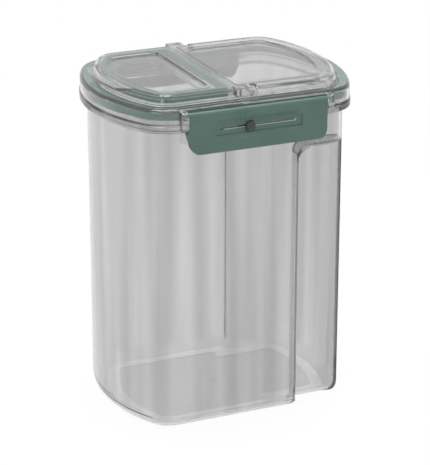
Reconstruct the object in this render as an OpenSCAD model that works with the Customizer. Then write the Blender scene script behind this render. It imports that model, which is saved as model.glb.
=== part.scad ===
// Airtight food container with a clear body, a clamped lid and a flip-up pouring door.
// Origin: centre of the footprint, on the surface that the container stands on.
// +X points to the grip end, -Y to the long side that carries the date slider, +Z up.

/* [Container plan] */
// Length of the container wall, end to end
body_l = 180; // [176:1:202]
// Width of the container wall, side to side
body_w = 136; // [132:2:148]
// Radius of the four vertical corners
corner_r = 24; // [22:1:28]

/* [Container height and walls] */
// Height of the container's open rim above the table
body_h = 235; // [190:1:270]
// Thickness of the container's wall
wall = 2.2; // [1.8:0.1:2.8]
// Thickness of the container's floor
floor_t = 2.6; // [2.2:0.1:3.4]
// Radius of the outer rounding at the foot
foot_r = 11; // [9:0.5:12]
// Depth of the shallow hollow under the floor
push_up = 0.8; // [0.4:0.1:1.2]
// Width of the foot ring that the container stands on
stand_w = 9; // [7:0.5:12]

/* [Rim bead] */
// How far the clamping bead stands out from the wall
bead_out = 5.6; // [4.8:0.1:6]
// Height of the clamping bead
bead_t = 6; // [5:0.25:7]
// Rim that stands above the bead and presses on the seal
rim_land = 3; // [2.6:0.1:3.6]

/* [Grip recesses] */
// Length of a recess, from the finger step to the container's end
grip_l = 53; // [47:1:60]
// Width across the two recess floors
grip_w = 108; // [102:1:116]
// Height of the recess ceiling above the table
grip_h = 202; // [150:1:208]
// Radius of the arched upper corner of a recess
grip_arch_r = 14; // [10:1:20]
// Hollow radius between the finger step and the recess floor
grip_floor_r = 6; // [4:0.5:8]
// Rounding of the finger step's outer edge
grip_lip_r = 3; // [2.9:0.1:4]
// Rounding at the foot of the recess
grip_foot_r = 8; // [7:0.5:9]
// Length of the flat stretch of the recess floor, from the step on
grip_flat = 27; // [22:1:31]
// Radius of the sweep that brings the recess back out to the end wall
grip_end_r = 19; // [16:1:24]

/* [Lid] */
// How far the lid's skirt stands out from the container wall
lid_out = 4.9; // [4.6:0.1:5.3]
// Thickness of the skirt and of the raised shells
lid_wall = 1.8; // [1.5:0.1:2.2]
// Height of the lid's ledge above the container's rim
ledge_rise = 8; // [7:0.25:10]
// Height of the raised top above the ledge
top_rise = 7; // [6.5:0.25:8]
// Distance of the raised top's edge from the wall line
top_inset = 8.8; // [8:0.2:10]
// Distance of the raised top's foot from the wall line
top_foot_inset = 4.8; // [4.2:0.2:5.6]
// Depth of the sunk panels in the top
panel_depth = 1.4; // [0.8:0.1:1.6]
// Distance of a sunk panel's edge from the wall line
panel_inset = 18.4; // [18:0.2:19.4]
// How far the guide wall reaches down into the container
guide_depth = 9; // [6:0.5:14]

/* [Seals] */
// Height of the lid's seal
seal_h = 5.1; // [4:0.1:5.4]
// Width of the door seal's ring on three sides
spout_seal_w = 5; // [4:0.25:5.2]
// Width of the door seal's leg next to the hinge
spout_seal_leg = 11.4; // [8:0.2:12]

/* [Pouring door] */
// Place of the split between the door and the fixed half
split_x = -7; // [-7.5:0.25:-6.5]
// Gap at the split
split_gap = 0.8; // [0.8:0.1:1.2]
// Radius of the hinge lugs
lug_r = 3.4; // [3:0.1:3.6]
// Radius of the hinge pins
pin_r = 1.5; // [1.2:0.1:1.7]
// Running clearance round hinge and latch pins
pin_gap = 0.06; // [0.03:0.01:0.1]
// Half width of the thumb tab
tab_half_w = 27; // [20:1:32]
// How far the thumb tab stands past the raised top
tab_reach = 8.6; // [6:0.2:9.4]

/* [Latches] */
// How much shorter a latch is than the lid's straight side
latch_short = 5; // [4:1:20]
// Radius of a latch's hinge barrel
barrel_r = 2.5; // [2.4:0.1:2.8]
// Thickness of a latch's face plate
latch_t = 2.2; // [2:0.1:2.4]
// How far the finger lip flares out past the face
lip_flare = 2.7; // [2:0.1:3.2]
// Radius of a latch pin
latch_pin_r = 1.4; // [1.2:0.1:1.6]
// Length of a latch pin
latch_pin_l = 3; // [2.4:0.2:3.6]
// Thickness of the lid's ears that carry a latch
ear_t = 4.4; // [4:0.2:5]
// Radius of the lower corners of a latch
latch_corner_r = 8; // [5:0.5:10]

/* [Date slider] */
// Length of the slot
slot_l = 58; // [46:1:62]
// Height of the slot
slot_h = 1.7; // [1.5:0.1:2]
// Length of the sunk frame round the slot
frame_l = 66; // [64:1:78]
// Height of the sunk frame
frame_h = 8.2; // [8:0.2:9]
// Depth of the sunk frame
frame_depth = 0.6; // [0.4:0.1:0.8]
// Place of the knob along the latch, as it is stored
knob_x = -7; // [-20:1:20]
// Length of the knob
knob_l = 6.2; // [5:0.2:7]
// Height of the knob
knob_h = 7.4; // [6:0.2:7.6]
// Length of the keeper bar behind the slot
keeper_l = 13; // [10:0.5:15]

/* [Hidden] */
$fn = 48;
end_fn = 180; // the short ends are long arcs
gap = 0.4; // between pieces that move past each other
slip = 0.1; // between pieces that are pushed together
eps = 0.01;
far = 400; // past every outline

// Plan outline. Each bulging end arc runs into the corner arcs without an edge, on a line through
// both centres that goes 8 across for 15 along, so 17 on the slant: all centres are round numbers.
meet_dir = [15, 8];
corner_cy = body_w / 2 - corner_r;
end_r = corner_r + corner_cy * 17 / 8;
end_cx = body_l / 2 - end_r;
corner_cx = end_cx + corner_cy * 15 / 8;
reach = 20 * meet_dir; // past every arc
core_in = 20; // the swept sections start this far inside the wall line

// Levels
bead_z1 = body_h - rim_land;
bead_z0 = bead_z1 - bead_t;
skirt_z = bead_z1 + gap;
ledge_z = body_h + ledge_rise;
deck_z = ledge_z - lid_wall;
channel_z = body_h + gap + seal_h;
top_z = ledge_z + top_rise;
skin_z = top_z - lid_wall;
panel_z = top_z - panel_depth;
door_z = ledge_z + gap;
channel_in = lid_out - lid_wall;

// Container hollow, grip recesses and the disc that the moulding gate leaves under the floor
cavity_r = foot_r - wall;
grip_x = body_l / 2 - grip_l;
gate_r = 3.2;
gate_h = push_up - 0.3;

// Pouring door and its hinge
fixed_x = split_x + split_gap;
door_wall_x = split_x - 2;
hinge_z = top_z - 3;
notch_y = body_w / 2 - 12.2;
lug_y0 = notch_y + gap;
lug_y1 = notch_y + 9.2;
pin_reach = 7;
notch_x = lug_r + 2.1;
leg_x0 = split_x - 4.6;
leg_x1 = leg_x0 - spout_seal_leg;
ring_in = panel_inset - lid_wall - slip; // inner edge of the door seal
panel_x = leg_x1 - lid_wall - slip; // right edge of the door's sunk panel
ring_out = ring_in - spout_seal_w;
mouth_inset = ring_in + 4;
mouth_x = leg_x1 - 3.5;
mouth_r = 8;
collar_h = 2.2;
rib_t = 1.2;

// Latches
latch_l = 2 * corner_cx - latch_short;
latch_d = barrel_r + lid_out + 2 * gap; // latch axis, out from the wall line
latch_z = ledge_z - 4.5;
face_d = latch_d + barrel_r; // outer face, out from the wall line
back_d = face_d - latch_t;
hook_z = bead_z0 - gap;
hook_tip_d = bead_out - 2.2;
hook_drop = 6;
lip_z1 = hook_z - 7.6;
lip_z0 = lip_z1 - 6.3;
ear_r = barrel_r + 0.8;
ear_x0 = latch_l / 2 + gap;
ear_z0 = bead_z1 - 3.5;

// Date slider
slot_z = hook_z + 2;
stem_h = slot_h - 0.3;
stem_l = 4;
frame_z = slot_z - 0.6;
knob_proud = 2;
keeper_t = 1.2;
keeper_h = 3;

// Points of an arc in n steps, both ends included
function arc(cx, cy, r, a0, a1, n) =
  [for (k = [0:n]) [cx + r * cos(a0 + (a1 - a0) * k / n), cy + r * sin(a0 + (a1 - a0) * k / n)]];

// Sector of the plan that a right end arc fills
module end_sector() {
  polygon([[end_cx, 0], [end_cx + reach[0], reach[1]], [end_cx + reach[0], -reach[1]]]);
}

// Sector of the plan that the corner arc behind it fills
module corner_sector() {
  polygon([
    [corner_cx, corner_cy],
    [corner_cx + reach[0], corner_cy + reach[1]],
    [corner_cx + reach[0], far],
    [corner_cx, far]
  ]);
}

// The container's outline, moved out by off
module plan(off) {
  for (s = [0, 1])
    mirror([s, 0]) {
      intersection() {
        translate([end_cx, 0]) circle(end_r + off, $fn = end_fn);
        end_sector();
      }
      for (t = [-1, 1])
        translate([corner_cx, t * corner_cy]) circle(corner_r + off);
    }
  square([2 * corner_cx, body_w + 2 * off], center = true);
  square([2 * corner_cx + 2, 2 * corner_cy], center = true);
}

// The part of the outline left of x1, with its two cut corners rounded by r
module plan_left(off, x1, r) {
  half_w = body_w / 2 + off;
  intersection() {
    plan(off);
    union() {
      translate([-far, -far / 2]) square([far + x1 - r, far]);
      translate([-far, r - half_w]) square([far + x1, 2 * (half_w - r)]);
      for (t = [-1, 1])
        translate([x1 - r, t * (half_w - r)]) circle(r);
    }
  }
}

// Carries a section, drawn as [out from the wall line, height], once round the outline
module around() {
  for (s = [0, 1])
    mirror([s, 0, 0]) {
      intersection() {
        translate([end_cx, 0, 0])
          rotate(-90)
            rotate_extrude(angle = 180, $fn = end_fn)
              translate([end_r, 0]) children();
        translate([0, 0, -far]) linear_extrude(3 * far) end_sector();
      }
      for (t = [0, 1])
        mirror([0, t, 0])
          intersection() {
            translate([corner_cx, corner_cy, 0])
              rotate_extrude(angle = 180)
                translate([corner_r, 0]) children();
            translate([0, 0, -far]) linear_extrude(3 * far) corner_sector();
          }
    }
  for (t = [0, 1])
    mirror([0, t, 0])
      translate([corner_cx, body_w / 2, 0])
        rotate([90, 0, -90])
          linear_extrude(2 * corner_cx)
            mirror([1, 0]) children();
}

// Flat filling inside a swept section
module core(z0, z1) {
  translate([0, 0, z0])
    linear_extrude(z1 - z0) plan(eps - core_in);
}

// Draws a section, given as [out from the wall line, height], along X on the front side
module along_front(x0, x1) {
  translate([x0, -body_w / 2, 0])
    rotate([90, 0, 90])
      linear_extrude(x1 - x0)
        mirror([1, 0]) children();
}

// Container

// Outer form of the container, filled
module container_form() {
  around()
    polygon(concat(
      [[-core_in, 0]],
      arc(-foot_r, foot_r, foot_r, 270, 360, 6),
      [[0, bead_z0 - 1]],
      [[bead_out - 1.4, bead_z0]],
      arc(bead_out - 1.2, bead_z0 + 1.4, 1.2, 300, 360, 3),
      arc(bead_out - 1.6, bead_z1 - 1.6, 1.6, 0, 90, 4),
      [[2.6, bead_z1], [2.4, bead_z1 + 0.2]],
      arc(2.4 - 0.8, body_h - 0.8, 0.8, 0, 90, 3),
      [[-core_in, body_h]]
    ));
  core(0, body_h);
}

// Hollow of the container, before the grip recesses take their share
module container_hollow() {
  around()
    polygon(concat(
      [[-core_in, floor_t]],
      arc(-foot_r, floor_t + cavity_r, cavity_r, 270, 360, 6),
      [[-wall, far], [-core_in, far]]
    ));
  core(floor_t, far);
}

// Plan of the front grip recess, grown by g towards the inside of the container
module grip_plan(g) {
  floor_y = -grip_w / 2;
  mouth_y = -body_w / 2;
  // floor and finger step, with the hollow corner between them
  translate([grip_x + grip_floor_r, -body_w]) square([grip_flat - grip_floor_r, body_w + floor_y + g]);
  translate([grip_x - g, -body_w]) square([grip_flat, body_w + floor_y - grip_floor_r]);
  translate([grip_x + grip_floor_r, floor_y - grip_floor_r]) circle(grip_floor_r + g);
  // sweep out to the end wall
  translate([grip_x + grip_flat, floor_y - grip_end_r]) circle(grip_end_r + g, $fn = 96);
  translate([grip_x + grip_flat, -body_w]) square([body_l, body_w + mouth_y + grip_lip_r]);
  // rounded outer edge of the step
  difference() {
    translate([grip_x - grip_lip_r, -body_w]) square([grip_lip_r, body_w + mouth_y + grip_lip_r]);
    translate([grip_x - grip_lip_r, mouth_y + grip_lip_r]) circle(grip_lip_r - g);
  }
}

// Arched outline of a grip recess seen from the front, grown by g
function grip_front(g) = concat(
  [[grip_x - grip_lip_r - g, -foot_r]],
  arc(grip_x - grip_lip_r + grip_arch_r, grip_h - grip_arch_r, grip_arch_r + g, 180, 90, 8),
  [[body_l, grip_h + g], [body_l, -foot_r]]
);

// Corner between the recess wall and the table, outside the foot's rounding, grown by g
module foot_corner(g) {
  polygon(concat(
    [[-1, -1], [grip_foot_r, -1]],
    arc(grip_foot_r, grip_foot_r, grip_foot_r - g, 270, 180, 6),
    [[-1, grip_foot_r]]
  ));
}

// The same corner carried along the step, round the hollow corner, along the floor and out again
module grip_foot(g) {
  floor_y = -grip_w / 2;
  translate([grip_x, floor_y - grip_floor_r, 0])
    rotate([90, 0, 0])
      linear_extrude(far)
        mirror([1, 0]) foot_corner(g);
  translate([grip_x + grip_floor_r, floor_y - grip_floor_r, 0])
    rotate(90)
      rotate_extrude(angle = 90)
        translate([grip_floor_r, 0]) foot_corner(g);
  translate([grip_x + grip_floor_r, floor_y, 0])
    rotate([90, 0, 90])
      linear_extrude(grip_flat - grip_floor_r) foot_corner(g);
  translate([grip_x + grip_flat, floor_y - grip_end_r, 0])
    mirror([1, 0, 0])
      rotate(90)
        rotate_extrude(angle = 45, $fn = 96)
          translate([grip_end_r, 0]) foot_corner(g);
}

// Space of both grip recesses, grown by g, with the rounding at their foot
module grip_recesses(g) {
  for (t = [0, 1])
    mirror([0, t, 0]) {
      intersection() {
        translate([0, 0, -foot_r])
          linear_extrude(grip_h + 2 * foot_r) grip_plan(g);
        rotate([90, 0, 0])
          linear_extrude(body_w) polygon(grip_front(g));
      }
      grip_foot(g);
    }
}

module container_body() {
  color([0.72, 0.73, 0.74, 0.4]) {
    difference() {
      container_form();
      difference() {
        container_hollow();
        grip_recesses(wall);
      }
      grip_recesses(0);
      // shallow hollow under the floor
      translate([0, 0, -1])
        linear_extrude(push_up + 1)
          intersection() {
            plan(-foot_r - stand_w);
            union() {
              translate([-far, -far / 2]) square([far + grip_x - grip_foot_r - stand_w, far]);
              square([body_l, grip_w - 2 * (grip_foot_r + stand_w)], center = true);
            }
          }
    }
    translate([0, 0, push_up - gate_h]) cylinder(r = gate_r, h = gate_h + 0.5 * floor_t);
  }
}

// Lid

// Section of the raised top's rounded side, moved in by t
module top_side(t, z0) {
  z1 = top_z - t;
  polygon([
    [-core_in, z0],
    [-top_foot_inset - t, z0],
    [-top_foot_inset - t - 0.3, ledge_z + 0.35 * (z1 - ledge_z)],
    [-top_foot_inset - t - 1.2, ledge_z + 0.68 * (z1 - ledge_z)],
    [-top_inset - t + 1.2, z1 - 0.6],
    [-top_inset - t, z1 - 0.1],
    [-top_inset - t - 0.8, z1],
    [-core_in, z1]
  ]);
}

// Filled form of the raised top, moved in by t
module top_form(t, z0) {
  around() top_side(t, z0);
  core(z0, top_z - t);
}

// Everything left of x1, or right of x0
module left_of(x1) {
  translate([x1 - far, -far / 2, 0]) cube([far, far, far]);
}
module right_of(x0) {
  translate([x0, -far / 2, 0]) cube([far, far, far]);
}

// Corner notches in the fixed half, where the door's lugs turn, grown by t
module hinge_notches(t) {
  for (s = [0, 1])
    mirror([0, s, 0])
      translate([-far + notch_x + t, notch_y - t, ledge_z])
        cube([far, far, far]);
}

module fixed_top() {
  difference() {
    intersection() {
      top_form(0, deck_z);
      right_of(fixed_x);
    }
    difference() {
      intersection() {
        top_form(lid_wall, deck_z - 1);
        right_of(fixed_x + lid_wall);
      }
      hinge_notches(lid_wall);
      // skin under the sunk panel
      translate([0, 0, panel_z - lid_wall])
        linear_extrude(far) plan(-panel_inset + lid_wall);
    }
    hinge_notches(0);
    translate([0, 0, panel_z])
      linear_extrude(far)
        intersection() {
          plan(-panel_inset);
          translate([fixed_x + 2 * lid_wall, -far / 2]) square([far, far]);
        }
  }
}

// One ear that carries the end of a latch, at the right end of the front side
module latch_ear() {
  difference() {
    along_front(ear_x0, ear_x0 + ear_t)
      union() {
        translate([latch_d, latch_z]) circle(ear_r);
        polygon([
          [lid_out - 1, skirt_z],
          [lid_out + 1.3, skirt_z],
          [lid_out + 1.3, ear_z0 + 1],
          [lid_out + 2.3, ear_z0],
          [latch_d + ear_r - 1.6, ear_z0],
          [latch_d + ear_r, ear_z0 + 1.6],
          [latch_d + ear_r, latch_z],
          [latch_d, latch_z + ear_r],
          [lid_out - 1.2, latch_z + ear_r]
        ]);
      }
    along_front(ear_x0 - 1, ear_x0 + latch_pin_l + gap)
      translate([latch_d, latch_z]) circle(latch_pin_r + pin_gap);
  }
}

module lid_frame() {
  color([0.74, 0.75, 0.76, 0.4]) {
    // skirt, seal channel, ledge and guide wall in one section
    around()
      polygon(concat(
        [[lid_out, skirt_z]],
        arc(lid_out - 3, ledge_z - 3, 3, 0, 75, 5),
        [[lid_out - 3.4, ledge_z]],
        [[-core_in + 7, ledge_z], [-core_in + 7, deck_z], [-wall - 2.4, deck_z]],
        [[-wall - 2.4, body_h - guide_depth + 0.6], [-wall - 1.8, body_h - guide_depth]],
        [[-wall - 1.2, body_h - guide_depth], [-wall - 0.6, body_h - guide_depth + 1]],
        [[-wall - 0.6, channel_z], [channel_in, channel_z], [channel_in, skirt_z]]
      ));
    // deck under the pouring door, with the mouth and its collar
    translate([0, 0, deck_z])
      linear_extrude(lid_wall)
        difference() {
          intersection() {
            plan(-core_in + 8);
            translate([-far, -far / 2]) square([far + fixed_x + 1, far]);
          }
          plan_left(-mouth_inset, mouth_x, mouth_r);
        }
    translate([0, 0, ledge_z - eps])
      linear_extrude(collar_h)
        difference() {
          plan_left(lid_wall - mouth_inset, mouth_x + lid_wall, mouth_r + lid_wall);
          plan_left(-mouth_inset, mouth_x, mouth_r);
        }
    fixed_top();
    // pins that the door's lugs snap over
    for (t = [0, 1])
      mirror([0, t, 0])
        translate([0, notch_y - eps, hinge_z])
          rotate([-90, 0, 0]) cylinder(r = pin_r, h = pin_reach);
    for (s = [0, 1], t = [0, 1])
      mirror([s, 0, 0]) mirror([0, t, 0]) latch_ear();
  }
}

// Pouring door

module door_lug() {
  difference() {
    union() {
      translate([0, lug_y0, hinge_z])
        rotate([-90, 0, 0]) cylinder(r = lug_r, h = lug_y1 - lug_y0);
      translate([door_wall_x - lid_wall, lug_y0, hinge_z - lug_r + 0.6])
        cube([-door_wall_x + lid_wall, lug_y1 - lug_y0, 2 * lug_r - 0.6]);
    }
    translate([0, lug_y0 - 1, hinge_z])
      rotate([-90, 0, 0]) cylinder(r = pin_r + pin_gap, h = pin_reach + 1);
  }
}

module thumb_tab() {
  translate([0, 0, skin_z])
    linear_extrude(lid_wall)
      intersection() {
        plan(tab_reach - top_inset);
        polygon([
          [-body_l, -tab_half_w - 2],
          [-body_l / 2 + tab_reach - top_inset + 2, -tab_half_w],
          [top_inset + 6 - body_l / 2, -tab_half_w - 8],
          [top_inset + 6 - body_l / 2, tab_half_w + 8],
          [-body_l / 2 + tab_reach - top_inset + 2, tab_half_w],
          [-body_l, tab_half_w + 2]
        ]);
      }
}

module flip_door() {
  color([0.74, 0.75, 0.76, 0.4]) {
    difference() {
      intersection() {
        top_form(0, door_z);
        union() {
          left_of(door_wall_x);
          intersection() {
            left_of(split_x);
            translate([-far / 2, -far / 2, skin_z]) cube([far, far, far]);
          }
        }
      }
      difference() {
        intersection() {
          top_form(lid_wall, door_z - 1);
          left_of(door_wall_x - lid_wall);
        }
        // skin under the sunk panel
        translate([0, 0, panel_z - lid_wall])
          linear_extrude(far) plan_left(lid_wall - panel_inset, panel_x + lid_wall, 6);
      }
      translate([0, 0, panel_z])
        linear_extrude(far) plan_left(-panel_inset, panel_x, 6);
    }
    // rib that holds the seal from inside
    translate([0, 0, ledge_z + collar_h + gap])
      linear_extrude(skin_z - ledge_z - collar_h - gap + eps)
        difference() {
          plan_left(-ring_in - slip, leg_x1 - slip, 6);
          plan_left(-ring_in - slip - rib_t, leg_x1 - slip - rib_t, 5);
        }
    for (t = [0, 1])
      mirror([0, t, 0]) door_lug();
    thumb_tab();
  }
}

// Seals

module lid_seal() {
  z0 = body_h + gap;
  z1 = channel_z - eps;
  x0 = slip - wall - 0.6;
  x1 = channel_in - slip;
  groove = 0.9;
  lip = 1.4;
  color([0.36, 0.5, 0.47])
    difference() {
      translate([0, 0, z0])
        linear_extrude(z1 - z0)
          difference() {
            plan(x1);
            plan(x0);
          }
      // groove that parts the two sealing lips
      around()
        polygon([
          [x0 + lip, z0 - 1],
          [x1 - lip, z0 - 1],
          [x1 - lip, z0],
          [x1 - lip - 0.6, z0 + groove],
          [x0 + lip + 0.6, z0 + groove],
          [x0 + lip, z0]
        ]);
    }
}

module spout_seal() {
  z0 = ledge_z + gap - slip;
  color([0.36, 0.5, 0.47])
    translate([0, 0, z0])
      linear_extrude(skin_z - eps - z0)
        difference() {
          plan_left(-ring_out, leg_x0, 6);
          plan_left(-ring_in, leg_x1, 6);
        }
}

// Latches

// Section of a latch: barrel, face plate, hook and flared finger lip
module latch_section() {
  translate([latch_d, latch_z]) circle(barrel_r);
  polygon([
    [face_d, latch_z],
    [latch_d, latch_z],
    [back_d, latch_z - barrel_r - 1],
    [back_d, hook_z],
    [hook_tip_d, hook_z],
    [hook_tip_d, hook_z - 0.7],
    [back_d, hook_z - hook_drop],
    [back_d, lip_z1],
    [back_d + 0.35 * lip_flare, lip_z1 - 2.6],
    [back_d + lip_flare, lip_z0 + 0.2],
    [face_d + lip_flare - 0.4, lip_z0],
    [face_d + lip_flare, lip_z0 + 0.5],
    [face_d + 0.45 * lip_flare, lip_z1 - 2.6],
    [face_d, lip_z1 + 0.6]
  ]);
}

// Face outline of a latch: square top, rounded lower corners
module latch_face() {
  translate([-latch_l / 2, lip_z0 + latch_corner_r]) square([latch_l, far]);
  translate([latch_corner_r - latch_l / 2, lip_z0 - 1]) square([latch_l - 2 * latch_corner_r, far]);
  for (s = [-1, 1])
    translate([s * (latch_l / 2 - latch_corner_r), lip_z0 + latch_corner_r]) circle(latch_corner_r);
}

// Latch on the front side, without the slider's slot
module latch_form() {
  intersection() {
    along_front(-latch_l / 2, latch_l / 2) latch_section();
    rotate([90, 0, 0])
      linear_extrude(body_w) latch_face();
  }
  for (s = [0, 1])
    mirror([s, 0, 0])
      along_front(latch_l / 2 - 1, latch_l / 2 + latch_pin_l)
        translate([latch_d, latch_z]) circle(latch_pin_r);
}

module front_latch() {
  color([0.36, 0.46, 0.43])
    difference() {
      latch_form();
      translate([-frame_l / 2, -body_w / 2 - far - face_d + frame_depth, frame_z - frame_h / 2])
        cube([frame_l, far, frame_h]);
      translate([-slot_l / 2 - 1, -body_w, slot_z - slot_h / 2])
        cube([slot_l, body_w / 2 - back_d + 1, slot_h]);
    }
}

module rear_latch() {
  color([0.36, 0.46, 0.43])
    mirror([0, 1, 0]) latch_form();
}

// Date slider

module date_knob() {
  front_y = -body_w / 2 - face_d + frame_depth - gap / 2;
  color([0.29, 0.3, 0.31])
    translate([knob_x, front_y, frame_z])
      rotate([90, 0, 0]) {
        linear_extrude(knob_proud)
          difference() {
            square([knob_l, knob_h], center = true);
            for (s = [-1, 1], t = [-1, 1])
              translate([s * knob_l / 2, t * knob_h / 2]) circle(1.2, $fn = 24);
          }
        translate([-stem_l / 2, slot_z - frame_z - stem_h / 2, frame_depth - latch_t - gap])
          cube([stem_l, stem_h, latch_t - frame_depth + gap + 0.5]);
      }
}

module date_keeper() {
  color([0.25, 0.26, 0.27])
    translate([knob_x - keeper_l / 2 - 1.5, gap / 2 - body_w / 2 - back_d, slot_z - keeper_h / 2])
      cube([keeper_l, keeper_t, keeper_h]);
}

container_body();
lid_frame();
flip_door();
lid_seal();
spout_seal();
front_latch();
rear_latch();
date_knob();
date_keeper();
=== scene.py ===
import math
import bmesh
import bpy
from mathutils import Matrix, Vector


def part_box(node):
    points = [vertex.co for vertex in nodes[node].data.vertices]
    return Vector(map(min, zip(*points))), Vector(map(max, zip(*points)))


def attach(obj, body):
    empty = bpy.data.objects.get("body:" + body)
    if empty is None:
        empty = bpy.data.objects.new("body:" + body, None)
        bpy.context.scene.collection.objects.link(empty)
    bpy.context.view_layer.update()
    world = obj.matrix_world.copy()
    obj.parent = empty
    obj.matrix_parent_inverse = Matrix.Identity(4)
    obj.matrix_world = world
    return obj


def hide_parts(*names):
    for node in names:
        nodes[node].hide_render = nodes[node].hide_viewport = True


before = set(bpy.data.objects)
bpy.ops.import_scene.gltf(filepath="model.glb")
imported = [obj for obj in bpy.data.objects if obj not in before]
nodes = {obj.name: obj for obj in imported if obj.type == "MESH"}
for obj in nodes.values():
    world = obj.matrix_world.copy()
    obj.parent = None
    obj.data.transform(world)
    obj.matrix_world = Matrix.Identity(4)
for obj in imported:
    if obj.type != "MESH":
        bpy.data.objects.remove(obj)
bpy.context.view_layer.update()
scene = bpy.context.scene
print("frame loaded:", len(nodes), "pieces")


def linear(hexText, alpha=1.0):
    # sRGB hex to the linear values that Blender works in
    values = [int(hexText[i:i + 2], 16) / 255 for i in (1, 3, 5)]
    curved = (v / 12.92 if v <= 0.04045 else ((v + 0.055) / 1.055) ** 2.4 for v in values)
    return tuple(curved) + (alpha,)


def addNode(tree, kind, inputs=None, **settings):
    # one node with its settings, and a value or a link for each named input
    node = tree.nodes.new(kind)
    for name, value in settings.items():
        setattr(node, name, value)
    for name, value in (inputs or {}).items():
        socket = node.inputs[name]
        if isinstance(value, bpy.types.NodeSocket):
            tree.links.new(value, socket)
        else:
            socket.default_value = value
    return node


def newMaterial(name):
    material = bpy.data.materials.new(name)
    material.use_nodes = True
    material.node_tree.nodes.clear()
    return material, material.node_tree


def perMetre(millimetres):
    # noise scale whose features are this many millimetres across
    return 1000.0 / millimetres


def setRamp(ramp, stops):
    # a two-stop colour ramp, each stop a position and a hex colour
    for element, (position, hexText) in zip(ramp.color_ramp.elements, stops):
        element.position = position
        element.color = linear(hexText)


def dress(nodeName, material):
    for slot in nodes[nodeName].material_slots:
        slot.material = material


clearPlastic = {
    "ior": 1.57,               # styrene acrylonitrile
    "haze": 0.04,              # share that fine scuffs scatter
    "drawMark": 22.0,          # mm between the soft upright bands that the core left as it was drawn
    "drawMarkPull": 0.04,      # how much slower the bands change upwards
    "bandSpan": (0.38, 0.62),  # part of the noise that the bands use
    "levelShade": 0.54,        # where between the two shades a level face lies
    "tint": "#202221",         # a little more is lost along a thick rim or a corner
    "density": 12.0,           # per metre
    "polish": (0.012, 0.05),   # roughness from a fresh wall to one that has been wiped
    "flowWave": 34.0,          # mm between the slow waves that the melt froze with
    "waveDepth": 0.00005,
    "wipeLength": 9.0,         # mm, drawn coarser than real wiping marks so that they show
    "wipePull": 0.22,          # how much slower they change upwards
    "wipeSpan": (0.45, 0.78),
    "rayTint": "#f4f6f5",
}

# the smoke-grey pigment takes a share of the light at each wall, a little less between the draw marks
smokeShades = {
    "container": ("#cbcbcb", "#e8e8e8"),
    "lid": ("#efefef", "#f4f4f4"),
}


def makeClearPlastic(name, shades, waveShare):
    # Styrene acrylonitrile, injection moulded in a polished cavity: glassy and hard, grey where the
    # light goes a long way through it, with slow flow waves that bend what stands behind
    material, tree = newMaterial(name)
    coords = addNode(tree, "ShaderNodeTexCoord").outputs
    place = coords["Object"]
    wave = addNode(tree, "ShaderNodeTexNoise", {
        "Vector": place,
        "Scale": perMetre(clearPlastic["flowWave"]),
        "Detail": 1.0,
        "Roughness": 0.4,
    })
    upright = addNode(tree, "ShaderNodeMapping", {
        "Vector": place,
        "Scale": (1.0, 1.0, clearPlastic["drawMarkPull"]),
    })
    marks = addNode(tree, "ShaderNodeTexNoise", {
        "Vector": upright.outputs["Vector"],
        "Scale": perMetre(clearPlastic["drawMark"]),
        "Detail": 2.0,
        "Roughness": 0.5,
    })
    # the bands run up the walls and fade on level floors and panels
    upward = addNode(tree, "ShaderNodeSeparateXYZ", {"Vector": coords["Normal"]}).outputs["Z"]
    level = addNode(tree, "ShaderNodeMath", {0: upward}, operation="ABSOLUTE").outputs[0]
    bands = addNode(tree, "ShaderNodeMix", {
        0: level,
        2: marks.outputs["Fac"],
        3: clearPlastic["levelShade"],
    }, data_type="FLOAT").outputs[0]
    smoke = addNode(tree, "ShaderNodeValToRGB", {"Fac": bands})
    setRamp(smoke, zip(clearPlastic["bandSpan"], shades))
    stretched = addNode(tree, "ShaderNodeMapping", {
        "Vector": place,
        "Scale": (1.0, 1.0, clearPlastic["wipePull"]),
    })
    wipe = addNode(tree, "ShaderNodeTexNoise", {
        "Vector": stretched.outputs["Vector"],
        "Scale": perMetre(clearPlastic["wipeLength"]),
        "Detail": 5.0,
        "Roughness": 0.62,
    })
    fresh, wiped = clearPlastic["polish"]
    wipeFrom, wipeTo = clearPlastic["wipeSpan"]
    rough = addNode(tree, "ShaderNodeMapRange", {
        "Value": wipe.outputs["Fac"],
        "From Min": wipeFrom,
        "From Max": wipeTo,
        "To Min": fresh,
        "To Max": wiped,
    })
    bump = addNode(tree, "ShaderNodeBump", {
        "Height": wave.outputs["Fac"],
        "Distance": clearPlastic["waveDepth"] * waveShare,
        "Strength": 1.0,
    })
    glass = addNode(tree, "ShaderNodeBsdfPrincipled", {
        "Base Color": smoke.outputs["Color"],
        "Roughness": rough.outputs["Result"],
        "IOR": clearPlastic["ior"],
        "Transmission Weight": 1.0 - clearPlastic["haze"],
        "Normal": bump.outputs["Normal"],
    })
    # lamps reach what stands behind the plastic
    rays = addNode(tree, "ShaderNodeLightPath")
    passing = addNode(tree, "ShaderNodeBsdfTransparent", {"Color": linear(clearPlastic["rayTint"])})
    both = addNode(tree, "ShaderNodeMixShader", {
        0: rays.outputs["Is Shadow Ray"],
        1: glass.outputs["BSDF"],
        2: passing.outputs["BSDF"],
    })
    tint = addNode(tree, "ShaderNodeVolumeAbsorption", {
        "Color": linear(clearPlastic["tint"]),
        "Density": clearPlastic["density"],
    })
    addNode(tree, "ShaderNodeOutputMaterial", {
        "Surface": both.outputs["Shader"],
        "Volume": tint.outputs["Volume"],
    })
    return material


dress("container_body", makeClearPlastic("mouldedClearSanContainer", smokeShades["container"], 1.0))
dress("lid_frame", makeClearPlastic("mouldedClearSanLid", smokeShades["lid"], 0.5))
dress("flip_door", makeClearPlastic("mouldedClearSanDoor", smokeShades["lid"], 0.5))
print("clear plastic done")


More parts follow.
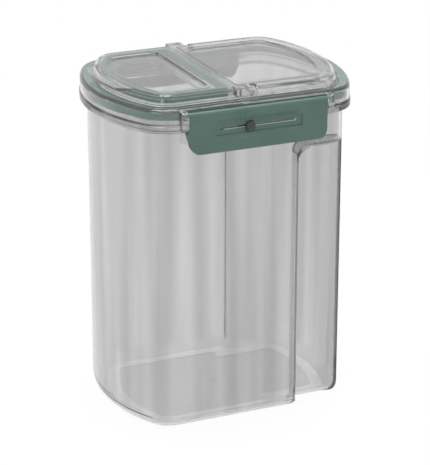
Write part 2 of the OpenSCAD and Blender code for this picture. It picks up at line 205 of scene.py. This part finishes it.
siliconeSeal = {
    "colour": "#237064",
    "shade": "#1d6055",
    "cloudSpan": (0.35, 0.65),
    "mottle": 6.0,             # mm across the cloudy patches of the pigment
    "dust": 0.5,               # mm, drawn coarser than real talc so that it shows
    "dustSpan": (0.3, 0.7),
    "dustDepth": 0.00002,
    "roughness": (0.38, 0.56),
    "ior": 1.41,
    "sheen": 0.08,
}


def makeSilicone():
    # Silicone rubber, compression moulded: satin, slightly cloudy colour, a breath of talc
    material, tree = newMaterial("mouldedSageSilicone")
    place = addNode(tree, "ShaderNodeTexCoord").outputs["Object"]
    cloud = addNode(tree, "ShaderNodeTexNoise", {
        "Vector": place,
        "Scale": perMetre(siliconeSeal["mottle"]),
        "Detail": 3.0,
    })
    dust = addNode(tree, "ShaderNodeTexNoise", {
        "Vector": place,
        "Scale": perMetre(siliconeSeal["dust"]),
        "Detail": 2.0,
    })
    colour = addNode(tree, "ShaderNodeValToRGB", {"Fac": cloud.outputs["Fac"]})
    setRamp(colour, zip(siliconeSeal["cloudSpan"], (siliconeSeal["shade"], siliconeSeal["colour"])))
    low, high = siliconeSeal["roughness"]
    dustFrom, dustTo = siliconeSeal["dustSpan"]
    rough = addNode(tree, "ShaderNodeMapRange", {
        "Value": dust.outputs["Fac"],
        "From Min": dustFrom,
        "From Max": dustTo,
        "To Min": low,
        "To Max": high,
    })
    bump = addNode(tree, "ShaderNodeBump", {
        "Height": dust.outputs["Fac"],
        "Distance": siliconeSeal["dustDepth"],
        "Strength": 0.6,
    })
    rubber = addNode(tree, "ShaderNodeBsdfPrincipled", {
        "Base Color": colour.outputs["Color"],
        "Roughness": rough.outputs["Result"],
        "IOR": siliconeSeal["ior"],
        "Sheen Weight": siliconeSeal["sheen"],
        "Sheen Roughness": 0.5,
        "Normal": bump.outputs["Normal"],
    })
    addNode(tree, "ShaderNodeOutputMaterial", {"Surface": rubber.outputs["BSDF"]})
    return material


# the plan that every ring follows, in millimetres: long end arcs that run into corner arcs
planOutline = {
    "halfLength": 90.0,
    "halfWidth": 68.0,
    "cornerRadius": 24.0,
    "cornerCentre": (55.0, 44.0),
    "endRadius": 117.5,
    "meet": math.atan2(8, 15),   # where an end arc hands over to a corner arc
    "endSteps": 60,
    "cornerSteps": 14,
    "roundingSteps": 10,
}


def arcPoints(centre, radius, start, end, steps):
    angles = [start + (end - start) * k / steps for k in range(steps + 1)]
    return [(centre[0] + radius * math.cos(a), centre[1] + radius * math.sin(a)) for a in angles]


def leftRing(inset, cutX, rounding):
    # closed outline of the plan's left part, moved in by inset and cut off at cutX
    half = planOutline["halfWidth"] - inset
    cx, cy = planOutline["cornerCentre"]
    meet = planOutline["meet"]
    corner = planOutline["cornerRadius"] - inset
    endSteps, cornerSteps, roundingSteps = (planOutline[k] for k in ("endSteps", "cornerSteps", "roundingSteps"))
    endCentre = (planOutline["endRadius"] - planOutline["halfLength"], 0)
    endRadius = planOutline["endRadius"] - inset
    points = arcPoints((cutX - rounding, half - rounding), rounding, 0, math.pi / 2, roundingSteps)
    points += arcPoints((-cx, cy), corner, math.pi / 2, math.pi - meet, cornerSteps)
    points += arcPoints(endCentre, endRadius, math.pi - meet, math.pi + meet, endSteps)[1:-1]
    points += arcPoints((-cx, -cy), corner, math.pi + meet, 1.5 * math.pi, cornerSteps)
    lowCentre = (cutX - rounding, rounding - half)
    points += arcPoints(lowCentre, rounding, 1.5 * math.pi, 2 * math.pi, roundingSteps)
    return points


doorSeal = {
    "inset": 11.5,             # outer edge, in from the wall line, mm
    "legX": -11.6,             # outer edge of the leg beside the hinge
    "corner": 6.0,
    # section as (in from the outer edge, height): a foot held against the door's skin, a waist and
    # a soft lip that splays out onto the deck
    "section": [
        (0.5, 248.19), (2.9, 248.19), (2.9, 246.9), (2.3, 246.4), (2.2, 245.2), (3.4, 243.9), (3.5, 243.45),
        (3.2, 243.3), (0.4, 243.3), (0.1, 243.5), (0.0, 244.0), (0.5, 245.0), (0.6, 246.4),
    ],
    "sharpAngle": 40.0,        # edges steeper than this stay crisp
}


def makeDoorSeal(material):
    rings = []
    for t, z in doorSeal["section"]:
        outline = leftRing(doorSeal["inset"] + t, doorSeal["legX"] - t, doorSeal["corner"] - t)
        rings.append([(x, y, z) for x, y in outline])
    count = len(rings[0])
    points = [tuple(v / 1000 for v in p) for ring in rings for p in ring]
    faces = []
    for i in range(len(rings)):
        j = (i + 1) % len(rings)
        for k in range(count):
            m = (k + 1) % count
            faces.append((i * count + k, i * count + m, j * count + m, j * count + k))
    mesh = bpy.data.meshes.new("door_seal_ring")
    mesh.from_pydata(points, [], faces)
    work = bmesh.new()
    work.from_mesh(mesh)
    bmesh.ops.recalc_face_normals(work, faces=work.faces)
    work.to_mesh(mesh)
    work.free()
    mesh.shade_smooth()
    mesh.set_sharp_from_angle(angle=math.radians(doorSeal["sharpAngle"]))
    mesh.materials.append(material)
    ring = bpy.data.objects.new("door_seal_ring", mesh)
    scene.collection.objects.link(ring)
    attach(ring, "door")
    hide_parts("spout_seal")


silicone = makeSilicone()
dress("lid_seal", silicone)
makeDoorSeal(silicone)
print("seals done")


latchPlastic = {
    "name": "sparkErodedGreenPolypropylene",
    "colour": "#57736a",
    "shade": "#516b62",
    "grain": 0.55,             # mm, a spark-eroded grain is nearer 0.15 and drawn coarser so that it shows
    "grainDepth": 0.00002,
    "roughness": (0.42, 0.6),
    "ior": 1.49,
    "slotPaintedLight": "#dfe6e3",     # pale walls in the slot, standing for the light that a real one lets through
    "slotHeight": 0.2276,
    "slotReach": 0.0012,
    "slotEnds": (-0.0265, 0.0285),
    "slotFacing": 0.6,         # walls that turn further to the front or back than this stay green
}

sliderPlastic = {
    "name": "mattDarkAbs",
    "colour": "#3b3f40",
    "shade": "#303435",
    "grain": 0.45,
    "grainDepth": 0.000015,
    "roughness": (0.4, 0.55),
    "ior": 1.53,
}

numberPlastic = {
    "name": "raisedNumberPolypropylene",
    "colour": "#3b544c",
    "shade": "#364d46",
    "grain": 0.4,
    "grainDepth": 0.00001,
    "roughness": (0.35, 0.5),
    "ior": 1.49,
}

grain = {
    "drift": 18.0,             # mm across the slow change of colour
    "driftSpan": (0.3, 0.7),
    "edgeSpan": (0.5, 0.56),   # pointiness from a flat face to a worn edge
    "strength": 0.8,
}


def paintSlot(tree, coords, look, tone):
    # painted light: pale inside the slot only, near its middle line and on walls that don't face forward,
    # standing for the light that a real slot lets through
    at = addNode(tree, "ShaderNodeSeparateXYZ", {"Vector": coords["Object"]}).outputs
    facing = addNode(tree, "ShaderNodeSeparateXYZ", {"Vector": coords["Normal"]}).outputs["Y"]
    low, high = look["slotEnds"]
    inside = addNode(tree, "ShaderNodeMath", {0: at["Y"], 1: 0.0}, operation="LESS_THAN").outputs[0]
    for value, middle, reach in ((at["Z"], look["slotHeight"], look["slotReach"]),
                                 (at["X"], (low + high) / 2, (high - low) / 2),
                                 (facing, 0.0, look["slotFacing"])):
        near = addNode(tree, "ShaderNodeMath", {0: value, 1: middle, 2: reach}, operation="COMPARE")
        inside = addNode(tree, "ShaderNodeMath", {0: inside, 1: near.outputs[0]}, operation="MULTIPLY").outputs[0]
    return addNode(tree, "ShaderNodeMix", {
        0: inside,
        6: tone,
        7: linear(look["slotPaintedLight"]),
    }, data_type="RGBA").outputs[2]


def makeGrainedPlastic(look):
    # Polypropylene or ABS from a spark-eroded mould: dull, even colour, a fine matt grain that
    # breaks up every highlight, a little smoother on the edges that fingers reach
    material, tree = newMaterial(look["name"])
    coords = addNode(tree, "ShaderNodeTexCoord").outputs
    place = coords["Object"]
    fine = addNode(tree, "ShaderNodeTexNoise", {
        "Vector": place,
        "Scale": perMetre(look["grain"]),
        "Detail": 3.0,
        "Roughness": 0.6,
    })
    drift = addNode(tree, "ShaderNodeTexNoise", {
        "Vector": place,
        "Scale": perMetre(grain["drift"]),
        "Detail": 2.0,
    })
    colour = addNode(tree, "ShaderNodeValToRGB", {"Fac": drift.outputs["Fac"]})
    setRamp(colour, zip(grain["driftSpan"], (look["shade"], look["colour"])))
    tone = colour.outputs["Color"]
    # painted light: the latch's slot walls are painted pale where light would come through
    if "slotPaintedLight" in look:
        tone = paintSlot(tree, coords, look, tone)
    smooth, dull = look["roughness"]
    flatFace, wornEdge = grain["edgeSpan"]
    worn = addNode(tree, "ShaderNodeMapRange", {
        "Value": addNode(tree, "ShaderNodeNewGeometry").outputs["Pointiness"],
        "From Min": flatFace,
        "From Max": wornEdge,
        "To Min": dull,
        "To Max": smooth,
    })
    bump = addNode(tree, "ShaderNodeBump", {
        "Height": fine.outputs["Fac"],
        "Distance": look["grainDepth"],
        "Strength": grain["strength"],
    })
    skin = addNode(tree, "ShaderNodeBsdfPrincipled", {
        "Base Color": tone,
        "Roughness": worn.outputs["Result"],
        "IOR": look["ior"],
        "Normal": bump.outputs["Normal"],
    })
    addNode(tree, "ShaderNodeOutputMaterial", {"Surface": skin.outputs["BSDF"]})
    return material


greenPlastic = makeGrainedPlastic(latchPlastic)
darkPlastic = makeGrainedPlastic(sliderPlastic)
dress("front_latch", greenPlastic)
dress("rear_latch", greenPlastic)
dress("date_knob", darkPlastic)
dress("date_keeper", darkPlastic)
print("latches done")


dayNumbers = {
    "last": 31,
    "step": 2,
    "span": (-0.0295, 0.0275),   # where the first and the last number stand along the latch
    "height": 0.0021,
    "sizePerHeight": 1.38,     # font size over the height of a digit
    "raised": 0.00012,
    "faceBack": 0.0027,        # the lip flares out this far past the face
    "frameTop": 0.2311,        # top edge of the sunk frame
    "above": 0.0009,           # from there to the foot of the numbers
}


def makeDayNumbers():
    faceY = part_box("front_latch")[0].y + dayNumbers["faceBack"]
    footZ = dayNumbers["frameTop"] + dayNumbers["above"]
    values = list(range(1, dayNumbers["last"] + 1, dayNumbers["step"]))
    x0, x1 = dayNumbers["span"]
    pieces = []
    for i, value in enumerate(values):
        curve = bpy.data.curves.new("dayNumber", "FONT")
        curve.body = str(value)
        curve.size = dayNumbers["height"] * dayNumbers["sizePerHeight"]
        curve.align_x = "CENTER"
        curve.extrude = dayNumbers["raised"]
        text = bpy.data.objects.new("dayNumber", curve)
        scene.collection.objects.link(text)
        text.location = (x0 + (x1 - x0) * i / (len(values) - 1), faceY, footZ)
        text.rotation_euler = (math.radians(90), 0, 0)
        pieces.append(text)
    bpy.context.view_layer.update()
    bpy.ops.object.select_all(action="DESELECT")
    for text in pieces:
        text.select_set(True)
    bpy.context.view_layer.objects.active = pieces[0]
    bpy.ops.object.convert(target="MESH")
    bpy.ops.object.join()
    numbers = bpy.context.view_layer.objects.active
    numbers.name = "day_numbers"
    numbers.data.transform(numbers.matrix_world)
    numbers.matrix_world.identity()
    numbers.data.materials.clear()
    numbers.data.materials.append(makeGrainedPlastic(numberPlastic))
    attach(numbers, "latch_front")


makeDayNumbers()
print("numbers done")


studio = {
    "floorSize": 3.0,
    "floorWhite": "#fbfbfb",
    "floorLight": "#e4e4e4",   # what the floor gives back to the object as plain light
    "shadowShare": 0.12,       # how much of the floor's white is lit, so that it can take a shadow
    "shadowFade": (0.35, 0.9),   # metres from the object over which the shadow fades out
    "worldDiffuse": 0.5,
    "wallTop": 0.05,           # height of direction at which the white walls start to darken
    "ceilingStart": 0.5,       # height of direction at which they have turned to ceiling
    "zenith": 0.3,             # what the plastic mirrors from the ceiling
    "aim": (0, 0, 0.13),
    "lamps": [
        {"name": "keyLamp", "place": (-1.1, -0.9, 1.35), "size": (0.9, 0.9), "watts": 8.0},
        {"name": "fillLamp", "place": (1.5, -0.9, 0.8), "size": (0.7, 1.1), "watts": 4.0},
        {"name": "topLamp", "place": (0.1, 0.2, 1.6), "size": (1.2, 0.9), "watts": 18.0},
    ],
}


def raysThatSee(tree):
    # camera, mirror and see-through rays, which all find the white background
    rays = addNode(tree, "ShaderNodeLightPath").outputs
    seeing = rays["Is Camera Ray"]
    for name in ("Is Glossy Ray", "Is Transmission Ray"):
        seeing = addNode(tree, "ShaderNodeMath", {0: seeing, 1: rays[name]}, operation="MAXIMUM").outputs[0]
    return rays, seeing


def makeFloor():
    half = studio["floorSize"] / 2
    mesh = bpy.data.meshes.new("floor")
    corners = [(-half, -half, 0), (half, -half, 0), (half, half, 0), (-half, half, 0)]
    mesh.from_pydata(corners, [], [(0, 1, 2, 3)])
    floor = bpy.data.objects.new("floor", mesh)
    scene.collection.objects.link(floor)
    # Matt white board: even and plain, and only the part near the object takes a shadow
    material, tree = newMaterial("whiteBoard")
    place = addNode(tree, "ShaderNodeTexCoord").outputs["Object"]
    away = addNode(tree, "ShaderNodeVectorMath", {0: place}, operation="LENGTH").outputs["Value"]
    fadeFrom, fadeTo = studio["shadowFade"]
    near = addNode(tree, "ShaderNodeMapRange", {
        "Value": away,
        "From Min": fadeFrom,
        "From Max": fadeTo,
        "To Min": studio["shadowShare"],
        "To Max": 0.0,
    }, interpolation_type="SMOOTHSTEP").outputs["Result"]
    lit = addNode(tree, "ShaderNodeBsdfDiffuse", {"Color": linear(studio["floorWhite"])})
    white = addNode(tree, "ShaderNodeEmission", {"Color": linear("#ffffff"), "Strength": 1.0})
    seen = addNode(tree, "ShaderNodeMixShader", {
        0: near,
        1: white.outputs["Emission"],
        2: lit.outputs["BSDF"],
    })
    plain = addNode(tree, "ShaderNodeBsdfDiffuse", {"Color": linear(studio["floorLight"])})
    seeing = raysThatSee(tree)[1]
    both = addNode(tree, "ShaderNodeMixShader", {
        0: seeing,
        1: plain.outputs["BSDF"],
        2: seen.outputs["Shader"],
    })
    addNode(tree, "ShaderNodeOutputMaterial", {"Surface": both.outputs["Shader"]})
    mesh.materials.append(material)


def makeWorld():
    world = bpy.data.worlds.new("studio")
    scene.world = world
    world.use_nodes = True
    tree = world.node_tree
    tree.nodes.clear()
    rays, seeing = raysThatSee(tree)
    direction = addNode(tree, "ShaderNodeTexCoord").outputs["Generated"]
    height = addNode(tree, "ShaderNodeSeparateXYZ", {"Vector": direction}).outputs["Z"]
    # white wall all round, darker ceiling
    ceiling = addNode(tree, "ShaderNodeMapRange", {
        "Value": height,
        "From Min": studio["wallTop"],
        "From Max": studio["ceilingStart"],
        "To Min": 1.0,
        "To Max": studio["zenith"],
    }, interpolation_type="SMOOTHSTEP").outputs["Result"]
    wall = addNode(tree, "ShaderNodeMath", {0: ceiling, 1: rays["Is Camera Ray"]}, operation="MAXIMUM")
    white = linear("#ffffff")
    seen = addNode(tree, "ShaderNodeBackground", {"Color": white, "Strength": wall.outputs[0]})
    lighting = addNode(tree, "ShaderNodeBackground", {"Color": white, "Strength": studio["worldDiffuse"]})
    both = addNode(tree, "ShaderNodeMixShader", {
        0: seeing,
        1: lighting.outputs["Background"],
        2: seen.outputs["Background"],
    })
    addNode(tree, "ShaderNodeOutputWorld", {"Surface": both.outputs["Shader"]})


def makeLamps():
    aim = Vector(studio["aim"])
    for lamp in studio["lamps"]:
        data = bpy.data.lights.new(lamp["name"], "AREA")
        data.shape = "RECTANGLE"
        data.size, data.size_y = lamp["size"]
        data.energy = lamp["watts"]
        light = bpy.data.objects.new(lamp["name"], data)
        light.location = lamp["place"]
        light.rotation_euler = (aim - light.location).to_track_quat("-Z", "Y").to_euler()
        light.visible_transmission = False   # the shadow rays bring this light already
        scene.collection.objects.link(light)


makeFloor()
makeWorld()
makeLamps()
print("stage done")


cameraPlan = {
    "azimuth": -23.65,
    "elevation": 20.44,
    "distance": 1.5,
    "target": (0.001, 0.0, 0.12074),
    "lens": 156.58,
}


def makeCamera():
    az = math.radians(cameraPlan["azimuth"])
    el = math.radians(cameraPlan["elevation"])
    away = Vector((math.cos(el) * math.sin(az), -math.cos(el) * math.cos(az), math.sin(el)))
    data = bpy.data.cameras.new("camera")
    data.lens = cameraPlan["lens"]
    camera = bpy.data.objects.new("camera", data)
    camera.location = Vector(cameraPlan["target"]) + away * cameraPlan["distance"]
    camera.rotation_euler = (-away).to_track_quat("-Z", "Y").to_euler()
    scene.collection.objects.link(camera)
    scene.camera = camera


makeCamera()
print("camera done")

# light that runs inside the thin clear skins turns back many times before it comes out
bounces = {"max_bounces": 40, "transmission_bounces": 40, "transparent_max_bounces": 24}
for name, count in bounces.items():
    setattr(scene.cycles, name, count)
scene.view_settings.view_transform = "Standard"
